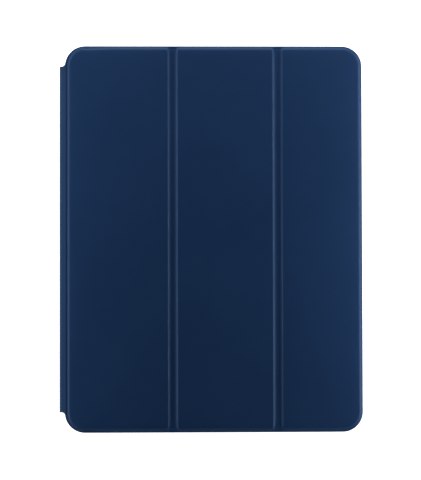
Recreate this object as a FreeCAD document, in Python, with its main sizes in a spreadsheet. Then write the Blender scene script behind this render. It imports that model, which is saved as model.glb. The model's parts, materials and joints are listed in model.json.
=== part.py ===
import os

import FreeCAD
import Part
import Sketcher

# Tri-fold folio case for a 12.9-inch class tablet, closed. The tray lies on its back.
# +Z points out of the tray's mouth to the front cover, +Y to the top of the case and +X to the
# cover's free edge; the hinge is on the -X side. The origin is the centre of the back's face.

SIZES = {
    # Outline of the case, seen from the front
    "case_width": 220.3,
    "case_height": 286.0,
    "corner_radius": 15.0,
    # Tray
    "leather": 0.6,
    "lining": 0.4,
    "floor_wall": 1.3,
    "side_wall": 1.8,
    "back_edge_radius": 2.0,
    "bay_depth": 6.5,
    "lip_height": 0.6,
    "lip_overhang": 0.8,
    "lining_gap": 0.3,
    # Cut-outs of the tray
    "camera_window": 34.0,
    "camera_corner": 8.0,
    "camera_margin": 4.5,
    "port_width": 14.0,
    "port_height": 5.0,
    "port_corner": 2.3,
    "sound_slot_width": 34.0,
    "sound_slot_height": 2.4,
    "sound_slot_corner": 1.1,
    "sound_slot_offset": 62.0,
    "microphone_radius": 1.0,
    # Buttons
    "button_length": 10.7,
    "button_height": 3.1,
    "button_corner": 1.5,
    "button_play": 0.15,
    "button_proud": 0.15,
    "button_flange": 0.8,
    "button_flange_thickness": 0.4,
    "button_recess": 0.9,
    "volume_up_drop": 38.0,
    "volume_down_drop": 53.0,
    "power_inset": 27.0,
    # Cover
    "cover_gap": 0.3,
    "board": 1.2,
    "bevel_width": 2.6,
    "board_inset": 3.0,
    "lining_inset": 0.8,
    "panel_1_width": 73.6,
    "panel_2_width": 70.5,
    "groove_width": 7.2,
    "cove_width": 1.75,
    "fold_strip_half": 2.0,
    "split": 0.3,
    # Hinge band along the left side
    "band_reach": 4.05,
    "band_length": 255.8,
    "band_radius": 3.3,
    "band_foot_radius": 2.6,
    "band_foot_lift": 1.5,
    "band_sector": 42.4,
    "spine_board": 0.9,
    "spine_end_gap": 1.0,
    # Inserts in the panels
    "steel_width": 12.0,
    "steel_length": 240.0,
    "steel_thickness": 0.5,
    "steel_from_groove": 56.0,
    "magnet_width": 5.0,
    "magnet_length": 20.0,
    "magnet_thickness": 0.9,
    "magnet_margin": 2.0,
    "magnet_inner_y": 45.0,
    "magnet_outer_y": 105.0,
    "wake_magnet_length": 10.0,
}

RIGHT_ANGLE = 90
STRAIGHT = 180
FULL_TURN = "360"
LENGTHWISE = FreeCAD.Rotation(FreeCAD.Vector(1, 0, 0), RIGHT_ANGLE)
NORMALS = {
    "XY_Plane": FreeCAD.Vector(0, 0, 1),
    "XZ_Plane": FreeCAD.Vector(0, 1, 0),
    "YZ_Plane": FreeCAD.Vector(1, 0, 0),
}
PARALLEL = 0.999
TOLERANCE = 0.001


def cell(name):
    """The expression that reads one cell of the sheet."""
    return "Sizes." + name


def less(first, *others):
    """The expression of first minus all the others."""
    return "(" + first + "".join(" - " + other for other in others) + ")"


def plus(*terms):
    """The expression of a sum."""
    return "(" + " + ".join(terms) + ")"


def minus(term):
    """The expression of a term with its sign turned."""
    return "(-1 * " + term + ")"


def half(name):
    """The expression of half a cell."""
    return "(" + cell(name) + " / 2)"


# Levels above the back's face, from the back up
FLOOR_BASE = cell("leather")
FLOOR_TOP = plus(FLOOR_BASE, cell("floor_wall"))
BAY_FLOOR = plus(FLOOR_TOP, cell("lining"))
LIP_BASE = plus(BAY_FLOOR, cell("bay_depth"))
RIM_TOP = plus(LIP_BASE, cell("lip_height"))
COVER_BASE = plus(RIM_TOP, cell("cover_gap"))
BOARD_BASE = plus(COVER_BASE, cell("lining"))
FLANGE_TOP = plus(BOARD_BASE, cell("leather"))
BOARD_TOP = plus(BOARD_BASE, cell("board"))
COVER_TOP = plus(BOARD_TOP, cell("leather"))
PORT_LEVEL = plus(BAY_FLOOR, cell("bay_depth / 2"))

# Lines across the cover, from the hinge to the free edge
LEFT = minus(half("case_width"))
RIGHT = half("case_width")
TOP = half("case_height")
GROOVE_1 = plus(LEFT, cell("bevel_width"), cell("panel_1_width"), half("groove_width"))
GROOVE_2 = plus(GROOVE_1, cell("groove_width"), cell("panel_2_width"))
WALL = plus(cell("leather"), cell("side_wall"))

# Centre lines of the hinge band's two rounded edges
BAND_FACE = less(LEFT, cell("band_reach"))
BAND_TOP_X = plus(BAND_FACE, cell("band_radius"))
BAND_TOP_Z = less(FLANGE_TOP, cell("band_radius"))
BAND_FOOT_X = plus(BAND_FACE, cell("band_foot_radius"))
BAND_FOOT_Z = plus(cell("band_foot_lift"), cell("band_foot_radius"))
BAND_END = half("band_length")

doc = FreeCAD.newDocument("TabletCase")
sub_parts = []


def make_sheet():
    """The sheet of driving sizes, one named cell each."""
    sheet = doc.addObject("Spreadsheet::Sheet", "Sizes")
    for row, (name, value) in enumerate(SIZES.items(), start=1):
        sheet.set(f"A{row}", name)
        sheet.set(f"B{row}", str(value))
        sheet.setAlias(f"B{row}", name)
    doc.recompute()


def keep(feature, name):
    """Names a feature as a sub-part of the case."""
    feature.Label = name
    sub_parts.append(feature)
    return feature


def box(name, low, high):
    """A block between two corners, each of three expressions."""
    block = doc.addObject("Part::Box", name)
    for side, axis, start, end in zip(("Length", "Width", "Height"), "xyz", low, high):
        block.setExpression(side, less(end, start))
        block.setExpression(f".Placement.Base.{axis}", start)
    return block


def rod(name, radius, centre_x, centre_z, start_angle, sector, reach):
    """A sector of a cylinder along Y, from angle start_angle, counted from +X towards +Z."""
    cylinder = doc.addObject("Part::Cylinder", name)
    turn = FreeCAD.Rotation(FreeCAD.Vector(0, 0, 1), start_angle)
    cylinder.Placement.Rotation = LENGTHWISE.multiply(turn)
    cylinder.setExpression("Radius", radius)
    cylinder.setExpression("Height", f"2 * {reach}")
    cylinder.setExpression("Angle", sector)
    cylinder.setExpression(".Placement.Base.x", centre_x)
    cylinder.setExpression(".Placement.Base.y", reach)
    cylinder.setExpression(".Placement.Base.z", centre_z)
    return cylinder


def cut(name, base, tool):
    """base without tool."""
    result = doc.addObject("Part::Cut", name)
    result.Base = base
    result.Tool = tool
    return result


def common(name, base, tool):
    """What base and tool share."""
    result = doc.addObject("Part::Common", name)
    result.Base = base
    result.Tool = tool
    return result


def join(name, shapes):
    """Shapes that touch, as one solid."""
    result = doc.addObject("Part::MultiFuse", name)
    result.Shapes = shapes
    return result


def group(name, shapes):
    """Separate solids that share one node."""
    result = doc.addObject("Part::Compound", name)
    result.Links = shapes
    return result


def edges_along(shape, direction, wanted):
    """The names of a shape's straight edges along direction whose middle is wanted."""
    names = []
    for number, edge in enumerate(shape.Edges, start=1):
        straight = edge.Curve.TypeId == "Part::GeomLine"
        if straight and abs(edge.tangentAt(edge.FirstParameter).dot(direction)) > PARALLEL:
            if wanted(edge.CenterOfMass):
                names.append(f"Edge{number}")
    return names


def edges_at_level(shape, level):
    """The names of the edges that lie wholly at one height."""
    names = []
    for number, edge in enumerate(shape.Edges, start=1):
        reach = edge.BoundBox
        if abs(reach.ZMin - level) < TOLERANCE and abs(reach.ZMax - level) < TOLERANCE:
            names.append(f"Edge{number}")
    return names


def rectangle(body, plane, low, high, base):
    """A rectangle sketched on one of the body's origin planes, moved out to base."""
    origin_plane = next(o for o in body.Origin.OriginFeatures if o.Role == plane)
    sketch = body.newObject("Sketcher::SketchObject", body.Name + "_outline")
    sketch.AttachmentSupport = [(origin_plane, "")]
    sketch.MapMode = "FlatFace"
    sketch.setExpression(".AttachmentOffset.Base.z", base)
    corners = [(-1, -1), (1, -1), (1, 1), (-1, 1)]
    points = [FreeCAD.Vector(across, up, 0) for across, up in corners]
    sides = list(zip(points, points[1:] + points[:1]))
    for start, end in sides:
        sketch.addGeometry(Part.LineSegment(start, end))
    for number in range(len(sides)):
        following = (number + 1) % len(sides)
        sketch.addConstraint(Sketcher.Constraint("Coincident", number, 2, following, 1))
        way = "Vertical" if number % 2 else "Horizontal"
        sketch.addConstraint(Sketcher.Constraint(way, number))
    for line, sign, corner in ((0, -1.0, low), (2, 1.0, high)):
        for way, where in zip(("DistanceX", "DistanceY"), corner):
            number = sketch.addConstraint(Sketcher.Constraint(way, -1, 1, line, 1, sign))
            sketch.setExpression(f"Constraints[{number}]", where)
    return sketch


def prism(name, plane, low, high, base, top, radius=None, wanted=lambda middle: True):
    """A body: a rectangle on plane, padded from base to top, with its wanted corners rounded.

    On XZ_Plane the pad runs towards -Y, so base and top are counted that way."""
    body = doc.addObject("PartDesign::Body", name)
    sketch = rectangle(body, plane, low, high, base)
    pad = body.newObject("PartDesign::Pad", name + "_pad")
    pad.Profile = sketch
    pad.setExpression("Length", less(top, base))
    doc.recompute()
    if radius:
        fillet = body.newObject("PartDesign::Fillet", name + "_corners")
        fillet.Base = (pad, edges_along(pad.Shape, NORMALS[plane], wanted))
        fillet.setExpression("Radius", radius)
    doc.recompute()
    return body


def outline_plate(name, inset, base, top):
    """A plate with the case's outline, inset by an expression."""
    low = [plus(LEFT, inset), plus(minus(TOP), inset)]
    high = [less(RIGHT, inset), less(TOP, inset)]
    return prism(name, "XY_Plane", low, high, base, top, less(cell("corner_radius"), inset))


def round_level(body, level, radius):
    """Rounds the edges of a body at one height."""
    tip = body.Tip
    fillet = body.newObject("PartDesign::Fillet", body.Name + "_edge")
    fillet.Base = (tip, edges_at_level(tip.Shape, level))
    fillet.setExpression("Radius", radius)
    doc.recompute()


def bottom(feature):
    """The lowest height of a feature's shape."""
    return feature.Shape.BoundBox.ZMin


def through_front_back(name, centre_x, width, height, radius, side):
    """A tool through the top wall (side 1) or the bottom wall (side -1) at the ports' level."""
    low = [less(centre_x, width + " / 2"), less(PORT_LEVEL, height + " / 2")]
    high = [plus(centre_x, width + " / 2"), plus(PORT_LEVEL, height + " / 2")]
    outside = plus(TOP, cell("side_wall"))
    inside = less(TOP, WALL, cell("side_wall"))
    if side > 0:
        return prism(name, "XZ_Plane", low, high, minus(outside), minus(inside), radius)
    return prism(name, "XZ_Plane", low, high, inside, outside, radius)


def camera_tool():
    """The tool of the camera's window through the back, near the top free corner."""
    far_x = less(RIGHT, WALL, cell("camera_margin"))
    far_y = less(TOP, WALL, cell("camera_margin"))
    low = [less(far_x, cell("camera_window")), less(far_y, cell("camera_window"))]
    below = minus(cell("floor_wall"))
    return prism("camera_tool", "XY_Plane", low, [far_x, far_y], below, LIP_BASE, cell("camera_corner"))


def microphone_tool():
    """The tool of the microphone's hole in the middle of the top wall."""
    tool = doc.addObject("Part::Cylinder", "microphone_tool")
    tool.Placement.Rotation = LENGTHWISE
    tool.setExpression("Radius", cell("microphone_radius"))
    tool.setExpression("Height", plus(WALL, WALL, WALL))
    tool.setExpression(".Placement.Base.y", plus(TOP, WALL))
    tool.setExpression(".Placement.Base.z", PORT_LEVEL)
    return tool


def button_block(name, plane, middle, length, height, radius, inner, outer):
    """A pill-ended block across a wall: plane YZ_Plane for the right wall, XZ_Plane for the top one."""
    low = [less(middle, length + " / 2"), less(PORT_LEVEL, height + " / 2")]
    high = [plus(middle, length + " / 2"), plus(PORT_LEVEL, height + " / 2")]
    if plane == "XZ_Plane":
        return prism(name, plane, low, high, minus(outer), minus(inner), radius)
    return prism(name, plane, low, high, inner, outer, radius)


def button(name, plane, middle, face):
    """A captive button cap in the wall whose outer face is at face. Returns the tool of its opening."""
    length = cell("button_length")
    height = cell("button_height")
    inside = less(face, WALL)
    wider = "2 * " + cell("button_flange")
    play = "2 * " + cell("button_play")
    step = less(plus(inside, cell("button_recess")), cell("button_play"))
    proud = plus(face, cell("button_proud"))
    past = plus(face, cell("side_wall"))
    flange_base = less(step, cell("button_flange_thickness"))
    corner = cell("button_corner")
    flange_sizes = (plus(length, wider), plus(height, wider))
    cap = button_block(name + "_cap", plane, middle, length, height, corner, step, proud)
    flange = button_block(name + "_flange", plane, middle, *flange_sizes, corner, flange_base, step)
    keep(join(name, [cap, flange]), name)
    window_sizes = (plus(length, play), plus(height, play))
    recess_sizes = (plus(length, wider, play), plus(height, wider, play))
    recess_top = plus(inside, cell("button_recess"))
    recess_base = less(inside, cell("leather"))
    window = button_block(name + "_window", plane, middle, *window_sizes, corner, inside, past)
    recess = button_block(name + "_recess", plane, middle, *recess_sizes, corner, recess_base, recess_top)
    return join(name + "_tool", [window, recess])


def make_buttons():
    """The volume caps on the right wall and the power cap on the top wall, and their tools."""
    tools = [button("volume_up_button", "YZ_Plane", less(TOP, cell("volume_up_drop")), RIGHT)]
    tools.append(button("volume_down_button", "YZ_Plane", less(TOP, cell("volume_down_drop")), RIGHT))
    tools.append(button("power_button", "XZ_Plane", less(RIGHT, cell("power_inset")), TOP))
    return tools


def make_tray():
    """The tray: hard shell with its lip and cut-outs, back skin, side skin and floor lining."""
    case_outside = outline_plate("case_outside", "0", "0", RIM_TOP)
    round_level(case_outside, 0, cell("back_edge_radius"))
    shell_outside = outline_plate("shell_outside", cell("leather"), FLOOR_BASE, RIM_TOP)
    inner_radius = less(cell("back_edge_radius"), cell("leather"))
    round_level(shell_outside, bottom(shell_outside), inner_radius)
    bay = outline_plate("bay", WALL, FLOOR_TOP, LIP_BASE)
    mouth = outline_plate("mouth", plus(WALL, cell("lip_overhang")), BAY_FLOOR, COVER_BASE)

    slot_sizes = [cell("sound_slot_width"), cell("sound_slot_height"), cell("sound_slot_corner")]
    port_sizes = [cell("port_width"), cell("port_height"), cell("port_corner")]
    tools = [camera_tool(), microphone_tool(), through_front_back("port_tool", "0", *port_sizes, -1)]
    for side, place in ((-1, "bottom"), (1, "top")):
        for sign, hand in ((minus, "left"), (plus, "right")):
            slot_name = f"sound_slot_{place}_{hand}"
            tools.append(through_front_back(slot_name, sign(cell("sound_slot_offset")), *slot_sizes, side))
    cut_outs = group("cut_outs", tools + make_buttons())

    hollow = join("hollow", [bay, mouth])
    walls = cut("shell_walls", shell_outside, hollow)
    keep(cut("tray_shell", walls, cut_outs), "tray_shell")

    skin_blank = cut("tray_skin_blank", case_outside, shell_outside)
    skin = cut("tray_skin", skin_blank, cut_outs)
    far = [RIGHT, TOP]
    near = [LEFT, minus(TOP)]
    seam = cell("back_edge_radius")
    keep(common("back_skin", skin, box("back_half", near + ["0"], far + [seam])), "back_skin")
    keep(common("side_skin", skin, box("side_half", near + [seam], far + [RIM_TOP])), "side_skin")

    lining_plate = outline_plate("lining_plate", plus(WALL, cell("lining_gap")), FLOOR_TOP, BAY_FLOOR)
    keep(cut("tray_lining", lining_plate, cut_outs), "tray_lining")


def groove_tool(number, middle):
    """The tool that presses one fold's groove: a flat floor between two coves."""
    width = less(cell("groove_width / 2"), cell("cove_width"))
    depth = cell("board")
    cove = cell("cove_width")
    radius = f"(({cove} * {cove} + {depth} * {depth}) / (2 * {depth}))"
    centre_z = plus(FLANGE_TOP, radius)
    past = plus(TOP, cell("corner_radius"))
    floor_low = [less(middle, width), minus(past), FLANGE_TOP]
    floor_high = [plus(middle, width), past, plus(COVER_TOP, cell("board"))]
    pieces = [box(f"groove_{number}_floor", floor_low, floor_high)]
    for side, edge in (("near", less(middle, width)), ("far", plus(middle, width))):
        pieces.append(rod(f"groove_{number}_{side}", radius, edge, centre_z, 0, FULL_TURN, past))
    return join(f"groove_{number}_tool", pieces)


def slab(name, left, right):
    """A block that holds all of the cover between two lines across it."""
    past = plus(TOP, cell("corner_radius"))
    return box(name, [left, minus(past), FLOOR_TOP], [right, past, plus(COVER_TOP, cell("board"))])


def cover_slabs():
    """One slab for each rigid stretch of the cover, split at both sides of each fold's strip."""
    offset = cell("fold_strip_half")
    gap = half("split")
    slabs = {}
    left = less(LEFT, cell("corner_radius"))
    for number, middle in ((1, GROOVE_1), (2, GROOVE_2)):
        slabs[f"panel_{number}"] = slab(f"panel_{number}_slab", left, less(middle, offset, gap))
        fold_left = plus(less(middle, offset), gap)
        fold_right = less(plus(middle, offset), gap)
        slabs[f"fold_{number}"] = slab(f"fold_{number}_slab", fold_left, fold_right)
        left = plus(middle, offset, gap)
    slabs["panel_3"] = slab("panel_3_slab", left, plus(RIGHT, cell("corner_radius")))
    return slabs


def make_cover_blank():
    """The cover's outer form: bevelled all round, with the two grooves pressed in."""
    plate = outline_plate("cover_plate", "0", COVER_BASE, COVER_TOP)
    tip = plate.Tip
    chamfer = plate.newObject("PartDesign::Chamfer", "cover_bevel")
    chamfer.Base = (tip, edges_at_level(tip.Shape, tip.Shape.BoundBox.ZMax))
    chamfer.ChamferType = "Two distances"
    chamfer.setExpression("Size", cell("board"))
    chamfer.setExpression("Size2", cell("bevel_width"))
    doc.recompute()
    grooves = group("grooves", [groove_tool(1, GROOVE_1), groove_tool(2, GROOVE_2)])
    return cut("cover_form", plate, grooves)


def near_side_edge(middle):
    """Whether a corner lies at the cover's left or right edge."""
    return abs(middle.x) > SIZES["case_width"] / 3


def make_board(number, left, right, rounded):
    """One stiff board. A rounded one follows the cover's corners at its outer edge."""
    inset = cell("board_inset")
    low = [left, plus(minus(TOP), inset)]
    high = [right, less(TOP, inset)]
    name = f"panel_{number}_core"
    if not rounded:
        return prism(name, "XY_Plane", low, high, BOARD_BASE, BOARD_TOP)
    radius = less(cell("corner_radius"), inset)
    return prism(name, "XY_Plane", low, high, BOARD_BASE, BOARD_TOP, radius, near_side_edge)


def holding_steel():
    """The steel strip in panel 1 that panel 3's magnets take hold of."""
    middle = less(GROOVE_1, half("groove_width"), cell("steel_from_groove"))
    top = plus(BOARD_BASE, cell("steel_thickness"))
    low = [less(middle, half("steel_width")), minus(half("steel_length")), BOARD_BASE]
    high = [plus(middle, half("steel_width")), half("steel_length"), top]
    return keep(box("panel_1_steel", low, high), "panel_1_steel")


def edge_magnet(name, middle_y, length):
    """One bar magnet along the free edge of panel 3."""
    outer = less(RIGHT, cell("board_inset"), cell("magnet_margin"))
    low = [less(outer, cell("magnet_width")), less(middle_y, length + " / 2"), BOARD_BASE]
    high = [outer, plus(middle_y, length + " / 2"), plus(BOARD_BASE, cell("magnet_thickness"))]
    return box(name, low, high)


def edge_magnets():
    """The four holding magnets, as one group, and the magnet that wakes the tablet."""
    bars = []
    for place in ("inner", "outer"):
        for sign, hand in ((minus, "lower"), (plus, "upper")):
            middle = sign(cell(f"magnet_{place}_y"))
            bars.append(edge_magnet(f"magnet_{place}_{hand}", middle, cell("magnet_length")))
    holding = keep(group("panel_3_magnets", bars), "panel_3_magnets")
    wake = keep(edge_magnet("wake_magnet", "0", cell("wake_magnet_length")), "wake_magnet")
    return [holding, wake]


def band_sector(name, radius, centre_x, centre_z, start_angle):
    """Half of a rounded edge of the hinge band, one leather thick."""
    where = (centre_x, centre_z, start_angle, cell("band_sector"), BAND_END)
    outer = rod(name + "_outer", radius, *where)
    inner = rod(name + "_inner", less(radius, cell("leather")), *where)
    return cut(name, outer, inner)


def band_flat(name, left, right, base, top):
    """A flat stretch of the hinge band's leather."""
    return box(name, [left, minus(BAND_END), base], [right, BAND_END, top])


def make_cover():
    """The cover: skin, boards and lining of three panels and two folds, and their inserts."""
    form = make_cover_blank()
    groove_side = plus(half("groove_width"), cell("leather"))
    left_edge = plus(LEFT, cell("board_inset"))
    right_edge = less(RIGHT, cell("board_inset"))
    cores = [make_board(1, left_edge, less(GROOVE_1, groove_side), True)]
    cores.append(make_board(2, plus(GROOVE_1, groove_side), less(GROOVE_2, groove_side), False))
    cores.append(make_board(3, plus(GROOVE_2, groove_side), right_edge, True))
    lining_sheet = outline_plate("cover_lining_sheet", cell("lining_inset"), COVER_BASE, BOARD_BASE)
    inside = group("cover_inside", cores + [lining_sheet])
    skin_sheet = cut("cover_skin_sheet", form, inside)

    inserts = {1: holding_steel(), 3: group("panel_3_inserts", edge_magnets())}
    for number, core in enumerate(cores, start=1):
        board = cut(f"panel_{number}_board", core, inserts[number]) if number in inserts else core
        keep(board, f"panel_{number}_board")

    top_sector = band_sector("band_top_sector", cell("band_radius"), BAND_TOP_X, BAND_TOP_Z, RIGHT_ANGLE)
    top_flat = band_flat("band_top_flat", BAND_TOP_X, LEFT, BOARD_BASE, FLANGE_TOP)
    for name, block in cover_slabs().items():
        skin = common(name + "_leather", skin_sheet, block)
        if name == "panel_1":
            skin = join("panel_1_wrapped", [skin, top_flat, top_sector])
        keep(skin, name + "_skin")
        keep(common(name + "_lining", lining_sheet, block), name + "_lining")


def make_spine():
    """The spine: leather with half of each rounded edge, stiffener and lining; and the foot strip."""
    upper_start = STRAIGHT - SIZES["band_sector"]
    upper = band_sector("spine_upper", cell("band_radius"), BAND_TOP_X, BAND_TOP_Z, upper_start)
    lower = band_sector("spine_lower", cell("band_foot_radius"), BAND_FOOT_X, BAND_FOOT_Z, STRAIGHT)
    inner_face = plus(BAND_FACE, cell("leather"))
    wall = band_flat("spine_wall", BAND_FACE, inner_face, BAND_FOOT_Z, BAND_TOP_Z)
    keep(join("spine_skin", [upper, wall, lower]), "spine_skin")

    end = less(BAND_END, cell("spine_end_gap"))
    board_face = plus(inner_face, cell("spine_board"))
    low = [inner_face, minus(end), BAND_FOOT_Z]
    keep(box("spine_stiffener", low, [board_face, end, BAND_TOP_Z]), "spine_stiffener")
    low = [board_face, minus(end), BAND_FOOT_Z]
    keep(box("spine_lining", low, [plus(board_face, cell("lining")), end, BAND_TOP_Z]), "spine_lining")

    foot_start = STRAIGHT + RIGHT_ANGLE - SIZES["band_sector"]
    foot = band_sector("foot_sector", cell("band_foot_radius"), BAND_FOOT_X, BAND_FOOT_Z, foot_start)
    foot_base = cell("band_foot_lift")
    foot_top = plus(foot_base, cell("leather"))
    foot_flat = band_flat("foot_flat", BAND_FOOT_X, less(LEFT, cell("split")), foot_base, foot_top)
    keep(join("hinge_strip_skin", [foot, foot_flat]), "hinge_strip_skin")


def check_and_write():
    """Stops on a failed feature or a bad shape, then writes one file for each sub-part."""
    doc.recompute()
    for feature in doc.Objects:
        if "Invalid" in feature.State or "Error" in feature.State:
            raise RuntimeError(f"{feature.Name} failed: {feature.State}")
    os.makedirs("parts", exist_ok=True)
    for part in sub_parts:
        shape = part.Shape
        if shape.isNull() or not shape.isValid() or not shape.Solids:
            raise RuntimeError(f"{part.Label} has no sound solid")
        shape.exportStep(f"parts/{part.Label}.step")
        print(part.Label, len(shape.Solids), round(shape.Volume, 1), shape.BoundBox)


make_sheet()
make_tray()
make_cover()
make_spine()
check_and_write()
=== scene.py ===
import json
import math

import bpy
from mathutils import Euler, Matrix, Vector


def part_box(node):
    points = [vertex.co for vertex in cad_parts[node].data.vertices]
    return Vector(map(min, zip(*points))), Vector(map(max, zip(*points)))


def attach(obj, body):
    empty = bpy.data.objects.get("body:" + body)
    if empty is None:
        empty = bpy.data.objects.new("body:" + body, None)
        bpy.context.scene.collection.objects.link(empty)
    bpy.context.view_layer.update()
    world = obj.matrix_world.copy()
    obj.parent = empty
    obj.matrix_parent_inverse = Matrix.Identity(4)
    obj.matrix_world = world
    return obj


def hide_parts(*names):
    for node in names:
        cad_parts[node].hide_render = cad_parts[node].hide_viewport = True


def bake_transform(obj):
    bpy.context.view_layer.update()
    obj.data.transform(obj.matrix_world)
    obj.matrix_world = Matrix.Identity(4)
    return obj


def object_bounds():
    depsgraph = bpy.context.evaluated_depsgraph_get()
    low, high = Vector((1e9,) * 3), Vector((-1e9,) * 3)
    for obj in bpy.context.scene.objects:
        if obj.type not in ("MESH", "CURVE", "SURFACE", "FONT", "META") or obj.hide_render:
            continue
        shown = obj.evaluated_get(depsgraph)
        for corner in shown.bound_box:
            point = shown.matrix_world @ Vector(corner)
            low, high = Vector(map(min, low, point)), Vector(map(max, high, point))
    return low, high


# A closed tri-fold tablet case that lies on its back. +Z points out of its front cover, +Y to its top
# end and +X to the cover's free edge; the hinge band runs along the -X side. Lengths are in metres.

MM = 0.001

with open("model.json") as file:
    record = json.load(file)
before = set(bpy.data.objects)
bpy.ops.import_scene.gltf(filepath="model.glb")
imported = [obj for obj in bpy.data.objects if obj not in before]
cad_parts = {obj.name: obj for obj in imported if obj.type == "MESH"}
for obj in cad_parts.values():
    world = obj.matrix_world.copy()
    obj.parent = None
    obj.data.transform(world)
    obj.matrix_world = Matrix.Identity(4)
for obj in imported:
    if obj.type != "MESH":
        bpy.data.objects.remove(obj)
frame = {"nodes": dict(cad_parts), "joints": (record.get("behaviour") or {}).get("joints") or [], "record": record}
cad_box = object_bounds()

# Places and sizes read from the frame
JOINT = {joint["name"]: Vector(joint["pos_m"]) for joint in frame["joints"] if "pos_m" in joint}
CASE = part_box("side_skin")[1]
COVER_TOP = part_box("panel_2_skin")[1].z
COVER_BASE, LINING_TOP = (corner.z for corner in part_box("panel_2_lining"))
FLANGE_TOP = JOINT["fold_1_strip"].z
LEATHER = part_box("spine_stiffener")[0].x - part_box("spine_skin")[0].x
LINING = LINING_TOP - COVER_BASE
LINING_INSET = CASE.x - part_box("panel_3_lining")[1].x
GROOVES = [JOINT["fold_1"].x, JOINT["fold_2"].x]
GROOVE_HALF = GROOVES[0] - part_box("panel_1_board")[1].x - LEATHER
SPINE_LOW, SPINE_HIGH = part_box("spine_stiffener")
BAND_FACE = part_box("spine_skin")[0].x
BAND_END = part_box("spine_skin")[1].y
STRIP_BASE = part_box("hinge_strip_skin")[0].z

# The cover's outline, and the slope of its leather from the flange at its rim up onto the boards. Part
# of the slope is straight and the rest S-shaped, and the leather still rises a little beyond its crest.
# Beside the hinge a flat ledge lies before a narrower slope.
CORNER = 15 * MM
EDGE_ROUND = 0.35 * MM
HEM = 0.9 * MM
BEVEL = 2.6 * MM
STRAIGHT_SHARE = 0.55
HINGE_LEDGE = 1.7 * MM
HINGE_BEVEL = 1.5 * MM
CROWN = 0.3 * MM
CROWN_REACH = 2.6 * MM

# The grooves pressed along the two folds: a flat floor, hollow walls, and ends that open out
GROOVE_FLOOR = 0.6 * MM
COVE_POWER = 2.1
FLARE = 1.6 * MM
FLARE_REACH = 2.6 * MM

# Steps of the cover's grid: in from its rim, over its corners, up a groove's wall and past its crest
RIM_STEPS = [0, 0.06 * MM, 0.16 * MM, EDGE_ROUND]
RIM_STEPS += [step / 4 * MM for step in range(3, 19)]
RIM_STEPS += [5.2 * MM, 6 * MM]
RIM_STEPS += [step * MM for step in range(7, 16)]
COVE_COUNT = 10
COVE_STEPS = [0]
COVE_STEPS += [GROOVE_FLOOR + (GROOVE_HALF - GROOVE_FLOOR) * step / COVE_COUNT for step in range(COVE_COUNT)]
COVE_STEPS += [GROOVE_HALF + step * MM for step in (-0.1, 0, 0.15, 0.4, 0.7, 1, 1.3, 2)]
FIELD_STEP = 10 * MM

# The hinge band's section, from the top. Its leather starts tucked in below the ledge beside panel 1,
# rises in a small roll, leans outwards and down, and turns down over the shoulder. The bend at the
# shoulder ends a little way out from the case's side, and so does the one at the root below.
TUCK = -CASE.x + HINGE_LEDGE
TUCKED_IN = 0.5 * MM
TUCKED_DOWN = 0.4 * MM
ROLL_HEIGHT = 0.25 * MM
ROLL_WIDTH = 0.7 * MM
ROLL_SIDE = 0.25 * MM
ROLL_SIDE_DROP = 0.08 * MM
LEAN = math.radians(12)
LEAN_COUNT = 5
SHOULDER = 1.8 * MM
SHOULDER_COUNT = 10
SHOULDER_BEND_END = 0.4 * MM

# Below the middle of the spine it turns in round the heel, and its root runs onto the tray's rounded
# back edge. The arc there is given in degrees.
MIDDLE = (SPINE_LOW.z + SPINE_HIGH.z) / 2
HEEL = SPINE_LOW.z - STRIP_BASE
HEEL_END = 0.1 * MM
HEEL_COUNT = 12
ROOT_COUNT = 6
ROOT_WIDTH = 0.9 * MM
ROOT_HEIGHT = 1.2 * MM
ROOT_ARC = (80, 20)
ROOT_ARC_COUNT = 5

# The band's lining rounds the spine's two edges. The curves start a little way out from the case's side.
LINING_TURN = 1.7 * MM
LINING_SHOULDER = 0.5 * MM
LINING_HEEL = 0.8 * MM
LINING_END = 0.3 * MM
LINING_STEP = 0.25 * MM

# The hinge band's ends are square outside and run up into the cover's rounded corner in a fillet.
# Along them the leather is turned in.
FILLET = 2.0 * MM
TURNED_IN = 0.8 * MM
END_STEPS = [0, 0.1 * MM, 0.3 * MM, TURNED_IN, TURNED_IN + 0.1 * MM]
BAND_COUNT = 10

# How strongly a paler, bluer highlight is painted on the leather at the slope's crest and the grooves'
# edges, round the rim, and down the spine, and over what width
CREST_HIGHLIGHT, CREST_HIGHLIGHT_WIDTH = 0.5, 0.5 * MM
GROOVE_HIGHLIGHT_WIDTH = 0.4 * MM
RIM_HIGHLIGHT, RIM_HIGHLIGHT_WIDTH = 0.35, 0.5 * MM
SPINE_HIGHLIGHT, SPINE_HIGHLIGHT_WIDTH = 0.3, 0.8 * MM

SHARP_ANGLE = math.radians(55)

# Colours in linear light, as the two ends of each material's slow change of shade
NAVY_LEATHER = ((0.0062, 0.0250, 0.077), (0.0076, 0.0285, 0.0856))
# The paler, bluer navy painted along the cover's edges and the band's outer face as a highlight
PAINTED_HIGHLIGHT_LEATHER = (0.012, 0.055, 0.16)
NAVY_NAP = ((0.010, 0.022, 0.050), (0.016, 0.034, 0.072))
NAVY_SHELL = ((0.009, 0.020, 0.046), (0.012, 0.025, 0.055))
NAVY_CAPS = ((0.008, 0.019, 0.046), (0.010, 0.022, 0.052))
GREY_BOARD = ((0.13, 0.125, 0.115), (0.2, 0.19, 0.175))
PLATED_STEEL = ((0.5, 0.5, 0.51), (0.68, 0.68, 0.69))
PALE_FLOOR = (0.9, 0.9, 0.9)
WHITE = (1, 1, 1)

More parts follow.
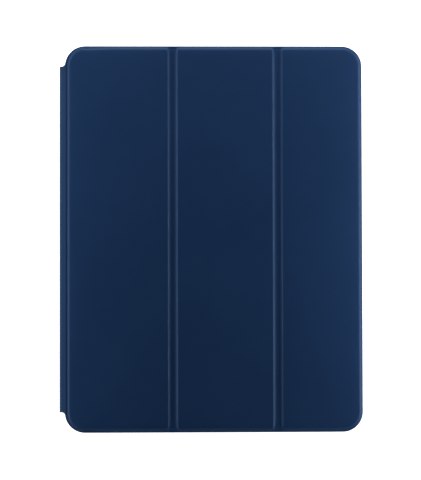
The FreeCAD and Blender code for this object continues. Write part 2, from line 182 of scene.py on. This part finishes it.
# The stage. Each light has its place, its width and height, and its power in watts.
FLOOR_REACH = 3.0
FLOOR_CLEARANCE = 0.5 * MM
LIGHTS = {
    "top_softbox": ((0.0, 0.36, 0.15), (0.4, 0.15), 0.82),
    "right_softbox": ((0.28, 0.02, 0.13), (0.6, 0.12), 0.66),
    "left_softbox": ((-0.28, 0.02, 0.13), (0.6, 0.12), 0.64),
    "bottom_softbox": ((0.0, -0.36, 0.13), (0.4, 0.12), 0.14),
    "right_strip": ((0.175, 0.0, 0.06), (0.34, 0.02), 0.12),
    "left_strip": ((-0.18, 0.0, 0.06), (0.34, 0.02), 0.06),
}
WORLD_FILL = 0.045

# The camera, straight above but for a degree or so, the width of what it sees at the cover, and its
# sensor's width in millimetres
CAMERA_DISTANCE = 1.2
CAMERA_FIELD = 0.355
CAMERA_SENSOR = 36
CAMERA_AIM = Vector((-2.5 * MM, -0.9 * MM, COVER_TOP))
CAMERA_TURN = Euler([math.radians(degrees) for degrees in (1.35, -1.3, -0.12)])


# ---------------------------------------------------------------- materials

def new_material(name):
    """A material, its node tree and its shader."""
    material = bpy.data.materials.new(name)
    material.use_nodes = True
    tree = material.node_tree
    return material, tree, tree.nodes["Principled BSDF"]


def place(tree, on_rest):
    """The point that a texture is read at: where the surface lies at rest, or its place in the object."""
    if on_rest:
        node = tree.nodes.new("ShaderNodeAttribute")
        node.attribute_name = "rest"
        return node.outputs["Vector"]
    return tree.nodes.new("ShaderNodeTexCoord").outputs["Object"]


def noise(tree, where, size, detail=3.0, roughness=0.55):
    """Noise whose features are about size metres across."""
    node = tree.nodes.new("ShaderNodeTexNoise")
    node.inputs["Scale"].default_value = 1 / size
    node.inputs["Detail"].default_value = detail
    node.inputs["Roughness"].default_value = roughness
    tree.links.new(where, node.inputs["Vector"])
    return node.outputs["Fac"]


def cells(tree, where, size):
    """Rounded cells about size metres across, like a leather's pores."""
    node = tree.nodes.new("ShaderNodeTexVoronoi")
    node.feature = "SMOOTH_F1"
    node.inputs["Scale"].default_value = 1 / size
    tree.links.new(where, node.inputs["Vector"])
    return node.outputs["Distance"]


def ramp(tree, value, colours, reach=0.2):
    """A colour that goes from one to the other as a value passes 0.5, from reach below to reach above."""
    node = tree.nodes.new("ShaderNodeValToRGB")
    for element, side, colour in zip(node.color_ramp.elements, (-1, 1), colours):
        element.position = 0.5 + side * reach
        element.color = (*colour, 1)
    tree.links.new(value, node.inputs["Fac"])
    return node.outputs["Color"]


def span(tree, value, low, high):
    """A value from 0 to 1 spread from low to high."""
    node = tree.nodes.new("ShaderNodeMapRange")
    node.inputs["To Min"].default_value = low
    node.inputs["To Max"].default_value = high
    tree.links.new(value, node.inputs["Value"])
    return node.outputs["Result"]


def with_painted_highlight(tree, colour):
    """A colour that turns paler and bluer where the mesh's weights say, as a painted highlight."""
    highlight_attribute = tree.nodes.new("ShaderNodeAttribute")
    highlight_attribute.attribute_name = "painted_highlight"
    node = tree.nodes.new("ShaderNodeMix")
    node.data_type = "RGBA"
    node.inputs["B"].default_value = (*PAINTED_HIGHLIGHT_LEATHER, 1)
    tree.links.new(highlight_attribute.outputs["Fac"], node.inputs["Factor"])
    tree.links.new(colour, node.inputs["A"])
    return node.outputs["Result"]


def bump(tree, shader, layers):
    """Bumps on top of each other: layers are triples of height value, depth in metres and strength."""
    normal = None
    for height, depth, strength in layers:
        node = tree.nodes.new("ShaderNodeBump")
        node.inputs["Distance"].default_value = depth
        node.inputs["Strength"].default_value = strength
        tree.links.new(height, node.inputs["Height"])
        if normal:
            tree.links.new(normal, node.inputs["Normal"])
        normal = node.outputs["Normal"]
    tree.links.new(normal, shader.inputs["Normal"])


def leather(name, on_rest):
    """Smooth navy synthetic leather: fine pores, faint long waves, edges painted a little paler as a highlight."""
    material, tree, shader = new_material(name)
    where = place(tree, on_rest)
    colour = ramp(tree, noise(tree, where, 60 * MM), NAVY_LEATHER)
    # On the cover and the band a paler, bluer highlight is painted along the edges
    if on_rest:
        colour = with_painted_highlight(tree, colour)
    tree.links.new(colour, shader.inputs["Base Color"])
    tree.links.new(span(tree, noise(tree, where, 9 * MM), 0.40, 0.50), shader.inputs["Roughness"])
    shader.inputs["Specular IOR Level"].default_value = 0.34
    shader.inputs["Specular Tint"].default_value = (0.5, 0.68, 1, 1)
    pores = cells(tree, where, 0.7 * MM)
    creases = noise(tree, where, 2.5 * MM, 5.0)
    waves = noise(tree, where, 35 * MM, 1.0)
    bump(tree, shader, [(waves, 0.25 * MM, 0.5), (creases, 0.04 * MM, 0.5), (pores, 0.05 * MM, 0.35)])
    return material


def microfibre(name, on_rest):
    """Short navy nap: brushed patches, a soft sheen at grazing angles and fibre-fine bumps."""
    material, tree, shader = new_material(name)
    where = place(tree, on_rest)
    nap = noise(tree, where, 14 * MM, 4.0)
    tree.links.new(ramp(tree, nap, NAVY_NAP), shader.inputs["Base Color"])
    shader.inputs["Roughness"].default_value = 0.95
    shader.inputs["Specular IOR Level"].default_value = 0.2
    shader.inputs["Sheen Weight"].default_value = 0.25
    shader.inputs["Sheen Tint"].default_value = (0.55, 0.68, 1, 1)
    shader.inputs["Sheen Roughness"].default_value = 0.5
    fibres = noise(tree, where, 0.35 * MM, 4.0, 0.7)
    bump(tree, shader, [(nap, 0.1 * MM, 0.3), (fibres, 0.12 * MM, 0.6)])
    return material


def moulding(name, colours, roughness, grain):
    """A matte solid, plastic or board, with a fine even texture whose grain is so many metres across."""
    material, tree, shader = new_material(name)
    where = place(tree, False)
    tree.links.new(ramp(tree, noise(tree, where, 40 * MM), colours), shader.inputs["Base Color"])
    tree.links.new(span(tree, noise(tree, where, 3 * MM), *roughness), shader.inputs["Roughness"])
    bump(tree, shader, [(noise(tree, where, grain, 2.0), 0.03 * MM, 0.5)])
    return material


def brushed_metal(name):
    """Plated strip with fine lengthwise brushing."""
    material, tree, shader = new_material(name)
    stretch = tree.nodes.new("ShaderNodeMapping")
    stretch.inputs["Scale"].default_value = (1, 0.04, 1)
    tree.links.new(place(tree, False), stretch.inputs["Vector"])
    brushing = noise(tree, stretch.outputs["Vector"], 0.4 * MM, 4.0)
    tree.links.new(ramp(tree, brushing, PLATED_STEEL, 0.3), shader.inputs["Base Color"])
    tree.links.new(span(tree, brushing, 0.25, 0.4), shader.inputs["Roughness"])
    shader.inputs["Metallic"].default_value = 1
    bump(tree, shader, [(brushing, 0.01 * MM, 0.3)])
    return material


def dress_cad_nodes():
    """Gives each CAD node that stays its own finish."""
    finishes = {
        "navy_leather": leather("leather_of_tray", False),
        "microfibre": microfibre("microfibre_of_tray", False),
        "moulded_shell": moulding("moulded_shell", NAVY_SHELL, (0.5, 0.62), 0.3 * MM),
        "buttons": moulding("moulded_caps", NAVY_CAPS, (0.38, 0.46), 0.5 * MM),
        "board": moulding("grey_board", GREY_BOARD, (0.8, 0.95), 0.8 * MM),
        "plated_steel": brushed_metal("plated_steel"),
    }
    slot_of = {row["node"]: row["material_slot"] for row in frame["record"]["subparts"]}
    for name, node in frame["nodes"].items():
        node.data.materials.clear()
        node.data.materials.append(finishes[slot_of[name]])


# ---------------------------------------------------------------- shapes of curves and meshes

def clamped(share):
    """A number held between 0 and 1."""
    return min(max(share, 0.0), 1.0)


def rise(share):
    """A soft step from 0 to 1."""
    share = clamped(share)
    return share * share * (3 - 2 * share)


def bell(away, width):
    """1 in the middle, fading to nothing over about twice the width."""
    return math.exp(-((away / width) ** 2))


def arc(centre_x, centre_z, radius_x, radius_z, start, end, steps):
    """Points along part of an ellipse, angles in degrees from +X towards +Z."""
    turns = [math.radians(start + (end - start) * step / steps) for step in range(steps + 1)]
    return [(centre_x + radius_x * math.cos(turn), centre_z + radius_z * math.sin(turn)) for turn in turns]


def offset(path, distance):
    """A path moved sideways, to its left for a positive distance."""
    moved = []
    for number, (x, z) in enumerate(path):
        x0, z0 = path[max(number - 1, 0)]
        x1, z1 = path[min(number + 1, len(path) - 1)]
        length = math.hypot(x1 - x0, z1 - z0)
        moved.append((x - distance * (z1 - z0) / length, z + distance * (x1 - x0) / length))
    return moved


def slab_faces(columns, rows):
    """The faces of a closed slab: a top grid, a bottom grid and the walls between them."""
    count = columns * rows
    faces = []
    for i in range(columns - 1):
        for j in range(rows - 1):
            near, far = i * rows + j, (i + 1) * rows + j
            faces.append((near, far, far + 1, near + 1))
            faces.append((count + near + 1, count + far + 1, count + far, count + near))
    rim = [i * rows for i in range(columns)]
    rim += [(columns - 1) * rows + j for j in range(1, rows)]
    rim += [i * rows + rows - 1 for i in range(columns - 2, -1, -1)]
    rim += list(range(rows - 2, 0, -1))
    for a, b in zip(rim, rim[1:] + rim[:1]):
        faces.append((b, a, count + a, count + b))
    return faces


def finish_mesh(name, points, faces, material, painted_highlight):
    """A smooth-shaded object with sharp rims, its rest places and its painted highlight kept for its material."""
    mesh = bpy.data.meshes.new(name)
    mesh.from_pydata(points, [], faces)
    mesh.validate()
    rest = mesh.attributes.new("rest", "FLOAT_VECTOR", "POINT")
    rest.data.foreach_set("vector", [number for point in points for number in point])
    # How strongly a paler highlight is painted at each point
    highlight_attribute = mesh.attributes.new("painted_highlight", "FLOAT", "POINT")
    highlight_attribute.data.foreach_set("value", painted_highlight)
    mesh.polygons.foreach_set("use_smooth", [True] * len(mesh.polygons))
    mesh.set_sharp_from_angle(angle=SHARP_ANGLE)
    mesh.materials.append(material)
    piece = bpy.data.objects.new(name, mesh)
    bpy.context.scene.collection.objects.link(piece)
    return piece


# ---------------------------------------------------------------- cover

def bevel_height(inset):
    """How far the leather has risen from the flange towards the board's top, from 0 to 1."""
    share = clamped((inset - EDGE_ROUND) / (BEVEL - EDGE_ROUND))
    slope = STRAIGHT_SHARE * share + (1 - STRAIGHT_SHARE) * rise(share)
    crown = CROWN / (COVER_TOP - FLANGE_TOP) * math.exp(-max(inset - BEVEL, 0) / CROWN_REACH)
    return slope * (1 - crown)


def cove_height(away):
    """How far a groove's wall has risen at a distance from the groove's middle, from 0 to 1."""
    return clamped((away - GROOVE_FLOOR) / (GROOVE_HALF - GROOVE_FLOOR)) ** COVE_POWER


def round_off(inset):
    """How far the surface has dropped at the rounded rim of the flange."""
    short = max(EDGE_ROUND - inset, 0.0)
    return EDGE_ROUND - math.sqrt(EDGE_ROUND ** 2 - short ** 2)


def bevel_inset(x, y, inset):
    """The inset that the bevel is counted from: beside the hinge a ledge runs before the bevel."""
    across, up = abs(x) - (CASE.x - CORNER), abs(y) - (CASE.y - CORNER)
    if x > 0 or across < 0 < up:
        return inset
    # The ledge fades out round the corner, from the hinge side to the end
    turn = math.atan2(max(up, 0), across) / (math.pi / 2) if across > 0 else 0
    share = 1 - rise(turn)
    width = BEVEL + (HINGE_BEVEL - BEVEL) * share
    return (inset - HINGE_LEDGE * share) * BEVEL / width


def skin_levels(x, y, inset):
    """The upper and lower height of the cover's leather at a place that lies inset from its rim."""
    flare = FLARE * bell(CASE.y - abs(y), FLARE_REACH)
    cove = min(cove_height(abs(x - groove) - flare) for groove in GROOVES)
    lift = (COVER_TOP - FLANGE_TOP) * bevel_height(bevel_inset(x, y, inset)) * cove
    upper = FLANGE_TOP + lift - round_off(inset)
    lower = max(LINING_TOP, upper - LEATHER)
    if inset < HEM:
        lower = COVER_BASE + round_off(inset)
    return upper, lower


def lining_levels(x, y, inset):
    """The upper and lower height of the cover's lining, with a soft lower rim."""
    return LINING_TOP, COVER_BASE + round_off(inset) / 2


def edge_highlight(x, y, inset):
    """How strongly a paler highlight is painted on the leather: most along the boards' upper edges and the rim."""
    away = min(abs(abs(x - groove) - GROOVE_HALF) for groove in GROOVES)
    crest = bell(bevel_inset(x, y, inset) - BEVEL, CREST_HIGHLIGHT_WIDTH)
    board_edge = bell(away, GROOVE_HIGHLIGHT_WIDTH)
    return CREST_HIGHLIGHT * max(crest, board_edge) + RIM_HIGHLIGHT * bell(inset, RIM_HIGHLIGHT_WIDTH)


def on_outline(x, y, shrink):
    """A grid point brought from the sharp corners' grid onto the rounded outline.

    The outline lies shrink inside the cover's own, and the outer rings are pressed together."""
    radius = CORNER - shrink
    centre_x, centre_y = CASE.x - CORNER, CASE.y - CORNER
    scale = radius / CORNER
    x = math.copysign(centre_x + (abs(x) - centre_x) * scale, x) if abs(x) > centre_x else x
    y = math.copysign(centre_y + (abs(y) - centre_y) * scale, y) if abs(y) > centre_y else y
    u = (abs(x) - centre_x) / radius
    v = (abs(y) - centre_y) / radius
    if u <= 0 or v <= 0:
        return x, y
    reach = max(u, v)
    turn = math.pi / 4 * (v / u if u >= v else 2 - u / v)
    new_x = centre_x + radius * reach * math.cos(turn)
    new_y = centre_y + radius * reach * math.sin(turn)
    return math.copysign(new_x, x), math.copysign(new_y, y)


def fill(low, high):
    """Even places between two others, both left out."""
    count = max(2, round((high - low) / FIELD_STEP))
    return [low + (high - low) * number / count for number in range(1, count)]


def joined(*runs):
    """Runs of places one after another, with even places filled in between them."""
    places = list(runs[0])
    for run in runs[1:]:
        places += fill(places[-1], run[0]) + list(run)
    return places


def stations_across():
    """The grid's places from the hinge side to the free edge, for each stretch of the cover.

    The stretches meet in the middle of panel 1 and of panel 2."""
    left = [step - CASE.x for step in RIM_STEPS]
    right = [CASE.x - step for step in reversed(RIM_STEPS)]
    folds = []
    for groove in GROOVES:
        folds.append([groove - step for step in COVE_STEPS[:0:-1]] + [groove + step for step in COVE_STEPS])
    middle_1 = (left[-1] + folds[0][0]) / 2
    middle_2 = (folds[0][-1] + folds[1][0]) / 2
    return {
        "hinge_side": joined(left, [middle_1]),
        "over_fold_1": joined([middle_1], folds[0], [middle_2]),
        "over_fold_2": joined([middle_2], folds[1], right),
    }


def stations_along():
    """The grid's places from the bottom end to the top end."""
    return joined([step - CASE.y for step in RIM_STEPS], [CASE.y - step for step in reversed(RIM_STEPS)])


def cover_piece(name, across, along, levels, shrink, material):
    """One stretch of the cover as a closed slab. levels gives its two heights; shrink insets its outline."""
    upper_points = []
    lower_points = []
    painted_highlight = []
    for x in across:
        for y in along:
            inset = min(CASE.x - abs(x), CASE.y - abs(y))
            place_x, place_y = on_outline(x, y, shrink)
            upper, lower = levels(place_x, place_y, inset)
            upper_points.append((place_x, place_y, upper))
            lower_points.append((place_x, place_y, lower))
            # A highlight painted along the crests, the grooves' edges and the rim
            painted_highlight.append(edge_highlight(place_x, place_y, inset))
    faces = slab_faces(len(across), len(along))
    return finish_mesh(name, upper_points + lower_points, faces, material, painted_highlight + [0.0] * len(painted_highlight))


def make_cover(skin, nap):
    """The cover's leather and lining, in stretches that each span one fold at most."""
    along = stations_along()
    folds = {"over_fold_1": 1, "over_fold_2": 2}
    kinds = (("skin", "navy_leather", skin_levels, 0, skin),
             ("lining", "microfibre", lining_levels, LINING_INSET, nap))
    for stretch, across in stations_across().items():
        for kind, slot, levels, shrink, material in kinds:
            piece = cover_piece(f"cover_{kind}_{stretch}", across, along, levels, shrink, material)
            if stretch not in folds:
                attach(piece, "panel_1")
                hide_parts(f"panel_1_{kind}")
                continue
            number = folds[stretch]
            near, fold, far = f"panel_{number}", f"fold_{number}", f"panel_{number + 1}"
            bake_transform(piece)
            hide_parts(f"{near}_{kind}", f"{fold}_{kind}", f"{far}_{kind}")


# ---------------------------------------------------------------- hinge band

def upper_paths():
    """The band from the cover down to the middle of the spine.

    Gives the outer face of its leather, and the face between its stiffener and its lining."""
    crest = FLANGE_TOP + ROLL_HEIGHT
    start = TUCK - ROLL_WIDTH
    shoulder_x = BAND_FACE + SHOULDER
    run = start - shoulder_x + SHOULDER * math.sin(LEAN)
    drop = run * math.tan(LEAN)
    outer = [(TUCK + TUCKED_IN, FLANGE_TOP - TUCKED_DOWN), (TUCK, FLANGE_TOP)]
    outer.append((TUCK - ROLL_SIDE, crest - ROLL_SIDE_DROP))
    shares = [step / LEAN_COUNT for step in range(LEAN_COUNT)]
    outer += [(start - run * share, crest - drop * share) for share in shares]
    shoulder_z = crest - drop - SHOULDER * math.cos(LEAN)
    outer += arc(shoulder_x, shoulder_z, SHOULDER, SHOULDER, 90 + math.degrees(LEAN), 180, SHOULDER_COUNT)
    outer.append((BAND_FACE, MIDDLE))
    inside = SPINE_HIGH.x
    turn_x = -CASE.x - LINING_SHOULDER
    turn = arc(turn_x, LINING_TOP - LINING_TURN, turn_x - inside, LINING_TURN, 90, 180, SHOULDER_COUNT)
    flat_count = len(outer) - len(turn) - 1
    inner = [(TUCK + TUCKED_IN - step * LINING_STEP, LINING_TOP) for step in range(flat_count)]
    return outer, inner + turn + [(inside, MIDDLE)]


def lower_paths():
    """The band from the middle of the spine round its heel, with the same two faces."""
    outer = [(BAND_FACE, MIDDLE)]
    outer += arc(BAND_FACE + HEEL, SPINE_LOW.z, HEEL, HEEL, 180, 270, HEEL_COUNT)
    outer.append((BAND_FACE + HEEL + HEEL_END, STRIP_BASE))
    inside = SPINE_HIGH.x
    level = STRIP_BASE + LEATHER
    turn_x = -CASE.x - LINING_HEEL
    inner = [(inside, MIDDLE)]
    inner += arc(turn_x, level + LINING_TURN, turn_x - inside, LINING_TURN, 180, 270, HEEL_COUNT)
    inner.append((-CASE.x - LINING_END, level))
    return outer, inner


def root_path():
    """The outer face of the strip from the band's heel to the tray's rounded back edge."""
    start = BAND_FACE + HEEL + HEEL_END
    run = -CASE.x - start
    path = [(start + run * step / ROOT_COUNT, STRIP_BASE) for step in range(ROOT_COUNT + 1)]
    return path + arc(-CASE.x, STRIP_BASE - ROOT_HEIGHT, ROOT_WIDTH, ROOT_HEIGHT, *ROOT_ARC, ROOT_ARC_COUNT)


def band_end(x):
    """Where the hinge band ends: square outside, running up into the cover's rounded corner."""
    start = -CASE.x - FILLET
    if x <= start:
        return BAND_END
    across = min(x - start, FILLET)
    return BAND_END + FILLET - math.sqrt(FILLET ** 2 - across ** 2)


def band_rows():
    """Places from end to end of the band, as pairs: a share of its half length, less a distance."""
    shares = [(step / BAND_COUNT, 0) for step in range(1, BAND_COUNT)]
    upper = [(0, 0)] + shares + [(1, step) for step in reversed(END_STEPS)]
    return [(-share, -short) for share, short in upper[:0:-1]] + upper


def band_piece(name, outer, inner, ends, flared, inset, material):
    """A strip swept along the case between its outer and inner path, which have as many points.

    Near its two ends the inner face follows the path ends, so that the leather is turned in. A flared
    strip runs up into the cover's corners, and inset is how far each end stops short."""
    rows = band_rows()
    points = []
    painted_highlight = []
    for face, path in enumerate((outer, inner)):
        for number, (x, z) in enumerate(path):
            reach = (band_end(x) if flared else BAND_END) - inset
            for share, short in rows:
                at_end = abs(share) == 1 and abs(short) <= TURNED_IN
                place_x, place_z = ends[number] if face and at_end else (x, z)
                points.append((place_x, share * reach - short, place_z))
                # A highlight painted down the band's outer face
                painted_highlight.append(SPINE_HIGHLIGHT * bell(x - BAND_FACE, SPINE_HIGHLIGHT_WIDTH))
    return finish_mesh(name, points, slab_faces(len(outer), len(rows)), material, painted_highlight)


def make_band(skin, nap):
    """The hinge band: leather outside, lining inside, in a top, a foot and a root stretch."""
    top, foot, root = upper_paths(), lower_paths(), root_path()
    shoulder = (Vector((BAND_FACE, 0, SPINE_HIGH.z)), Vector((-CASE.x - SHOULDER_BEND_END, 0, FLANGE_TOP)))
    heel = (Vector((BAND_FACE, 0, SPINE_LOW.z)), Vector((BAND_FACE + HEEL, 0, STRIP_BASE)))
    stretches = (("top", top, "panel_1", shoulder), ("foot", foot, "hinge_strip", heel))
    for stretch, (outer, inside), other, bend in stretches:
        flared = stretch == "top"
        piece = band_piece(f"band_skin_{stretch}", outer, offset(outer, LEATHER), inside, flared, 0, skin)
        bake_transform(piece)
        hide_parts("spine_skin")
        lining_face = offset(inside, LINING)
        piece = band_piece(f"band_lining_{stretch}", inside, lining_face, lining_face, False, TURNED_IN, nap)
        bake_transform(piece)
        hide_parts("spine_lining")
    inner = offset(root, LEATHER)
    piece = band_piece("band_skin_root", root, inner, inner, False, 0, skin)
    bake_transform(piece)
    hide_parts("hinge_strip_skin")


# ---------------------------------------------------------------- stage

def make_floor():
    """A plain pale floor, low enough for the cover to fold round under the case."""
    mesh = bpy.data.meshes.new("floor")
    low = cad_box[0].z - COVER_TOP - FLOOR_CLEARANCE
    corners = ((-1, -1), (1, -1), (1, 1), (-1, 1))
    mesh.from_pydata([(x * FLOOR_REACH, y * FLOOR_REACH, low) for x, y in corners], [], [(0, 1, 2, 3)])
    floor = bpy.data.objects.new("floor", mesh)
    bpy.context.scene.collection.objects.link(floor)
    material, tree, shader = new_material("pale_floor")
    shader.inputs["Base Color"].default_value = (*PALE_FLOOR, 1)
    shader.inputs["Roughness"].default_value = 0.9
    shader.inputs["Emission Color"].default_value = (*WHITE, 1)
    shader.inputs["Emission Strength"].default_value = 1.0
    mesh.materials.append(material)


def soft_light(name, spot, size, power):
    """A rectangular area light that faces the middle of the case."""
    lamp = bpy.data.lights.new(name, "AREA")
    lamp.shape = "RECTANGLE"
    lamp.size, lamp.size_y = size
    lamp.energy = power
    light = bpy.data.objects.new(name, lamp)
    light.location = spot
    light.rotation_euler = (-Vector(spot)).to_track_quat("-Z", "Y").to_euler()
    bpy.context.scene.collection.objects.link(light)


def make_lights():
    """Softboxes close above both ends and both sides, two low strips, and a faint even fill."""
    for name, (spot, size, power) in LIGHTS.items():
        soft_light(name, spot, size, power)
    world = bpy.data.worlds.new("fill")
    world.use_nodes = True
    background = world.node_tree.nodes["Background"]
    background.inputs["Color"].default_value = (*WHITE, 1)
    background.inputs["Strength"].default_value = WORLD_FILL
    bpy.context.scene.world = world
    bpy.context.scene.view_settings.view_transform = "Standard"


def make_camera():
    """A long lens looking down at the cover, a little from the bottom end and from the hinge's side."""
    camera = bpy.data.cameras.new("camera")
    camera.sensor_width = CAMERA_SENSOR
    camera.lens = CAMERA_SENSOR * CAMERA_DISTANCE / CAMERA_FIELD
    holder = bpy.data.objects.new("camera", camera)
    holder.rotation_euler = CAMERA_TURN
    holder.location = CAMERA_AIM + CAMERA_TURN.to_matrix() @ Vector((0, 0, CAMERA_DISTANCE))
    bpy.context.scene.collection.objects.link(holder)
    bpy.context.scene.camera = holder


dress_cad_nodes()
cover_skin = leather("navy_leather", True)
cover_nap = microfibre("navy_microfibre", True)
make_cover(cover_skin, cover_nap)
make_band(cover_skin, cover_nap)
make_floor()
make_lights()
make_camera()
